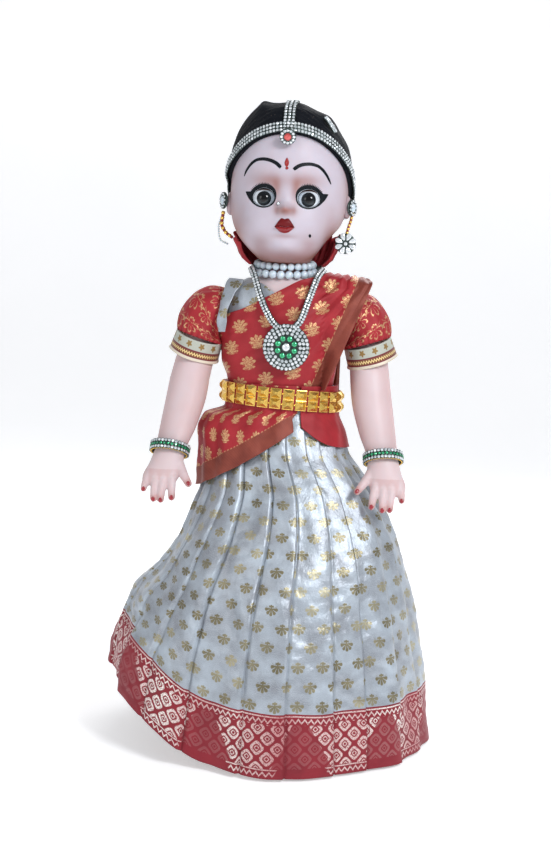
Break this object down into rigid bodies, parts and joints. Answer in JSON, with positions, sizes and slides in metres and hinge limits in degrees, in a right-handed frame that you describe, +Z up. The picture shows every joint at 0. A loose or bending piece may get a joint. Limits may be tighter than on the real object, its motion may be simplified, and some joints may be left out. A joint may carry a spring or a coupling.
{
  "type": "dressed sleep-eye doll",
  "caption": "Standing plastic sleep-eye doll in a half-saree dance costume, with jewellery, turning head, swinging arms and legs, and eyes that close when it lies down.",
  "frame": {"origin": "on the floor under the middle of the skirt's hem box", "axes": "+Z up; the doll faces -Y; her left hand is at +X"},
  "size_m": [0.314, 0.292, 0.6104],
  "materials": {
    "vinyl": "satin moulded vinyl",
    "body_plastic": "satin blow-moulded plastic",
    "eye_plastic": "polished",
    "eye_wire": "drawn wire",
    "eye_lead": "dull cast lead",
    "hair": "black velvet-like fibre",
    "red_cloth": "plain red cotton",
    "red_brocade": "red silk with gold woven motifs",
    "silver_brocade": "silver satin with gold woven motifs",
    "gilt": "polished gilt",
    "clear_stones": "faceted, in dark metal cups",
    "green_stones": "faceted, in dark metal cups",
    "pearl": "pearlised bead"
  },
  "bodies": {
    "torso": {"torso_front": "body_plastic", "torso_back": "body_plastic", "pearl_strand_upper": "pearl", "pearl_strand_lower": "pearl", "necklace_chain": "clear_stones", "necklace_pendant": "green_stones", "belt": "gilt", "blouse": "silver_brocade", "drape": "red_brocade", "drape_tail": "red_brocade", "hip_panel": "red_brocade", "blouse_flap": "red_cloth", "skirt": "silver_brocade", "skirt_border": "red_brocade"},
    "head": {"head_shell": "vinyl", "hair_cap": "hair", "hair_bun": "hair", "nape_cloth": "red_cloth", "headband": "clear_stones", "parting_strip": "clear_stones", "forehead_pendant": "clear_stones", "hair_jewel": "clear_stones", "nose_stud": "clear_stones", "ear_cover_right": "clear_stones", "ear_cover_left": "clear_stones"},
    "eyes": {"eyeball_right": "eye_plastic", "eyeball_left": "eye_plastic", "eye_yoke": "eye_wire", "eye_weight": "eye_lead"},
    "ear_chain": {"ear_chain_right": "gilt"},
    "flower_earring": {"flower_earring_left": "clear_stones"},
    "arm_right": {"arm_right": "body_plastic", "sleeve_right": "red_brocade", "sleeve_band_right": "silver_brocade"},
    "arm_left": {"arm_left": "body_plastic", "sleeve_left": "red_brocade", "sleeve_band_left": "silver_brocade"},
    "bangle_right": {"bangle_right": "green_stones"},
    "bangle_left": {"bangle_left": "green_stones"},
    "leg_right": {"leg_right": "body_plastic"},
    "leg_left": {"leg_left": "body_plastic"}
  },
  "joints": [
    {"name": "neck_turn", "type": "hinge", "parent": "torso", "child": "head", "pos_m": [0, 0, 0.441], "axis": [0, 0, 1], "range_deg": [-60, 60]},
    {"name": "eyes_tilt", "type": "hinge", "parent": "head", "child": "eyes", "pos_m": [0, -0.038, 0.515], "axis": [1, 0, 0], "range_deg": [0, 80]},
    {"name": "ear_chain_swing", "type": "hinge", "parent": "head", "child": "ear_chain", "pos_m": [-0.062, -0.006, 0.503], "axis": [1, 0, 0], "range_deg": [-25, 25]},
    {"name": "flower_earring_swing", "type": "hinge", "parent": "head", "child": "flower_earring", "pos_m": [0.06, -0.006, 0.503], "axis": [1, 0, 0], "range_deg": [-25, 12]},
    {"name": "shoulder_right", "type": "hinge", "parent": "torso", "child": "arm_right", "pos_m": [-0.06, 0, 0.411], "axis": [-1, 0, 0], "range_deg": [0, 110]},
    {"name": "shoulder_left", "type": "hinge", "parent": "torso", "child": "arm_left", "pos_m": [0.06, 0, 0.411], "axis": [-1, 0, 0], "range_deg": [0, 110]},
    {"name": "bangle_right_turn", "type": "hinge", "parent": "arm_right", "child": "bangle_right", "pos_m": [-0.099, -0.0415, 0.2795], "axis": [-0.1665, -0.4577, -0.8734], "continuous": true},
    {"name": "bangle_left_turn", "type": "hinge", "parent": "arm_left", "child": "bangle_left", "pos_m": [0.099, -0.0415, 0.2795], "axis": [0.1665, -0.4577, -0.8734], "continuous": true},
    {"name": "hip_right", "type": "hinge", "parent": "torso", "child": "leg_right", "pos_m": [-0.024, 0, 0.262], "axis": [-1, 0, 0], "range_deg": [-12, 12]},
    {"name": "hip_left", "type": "hinge", "parent": "torso", "child": "leg_left", "pos_m": [0.024, 0, 0.262], "axis": [-1, 0, 0], "range_deg": [-12, 12]}
  ]
}
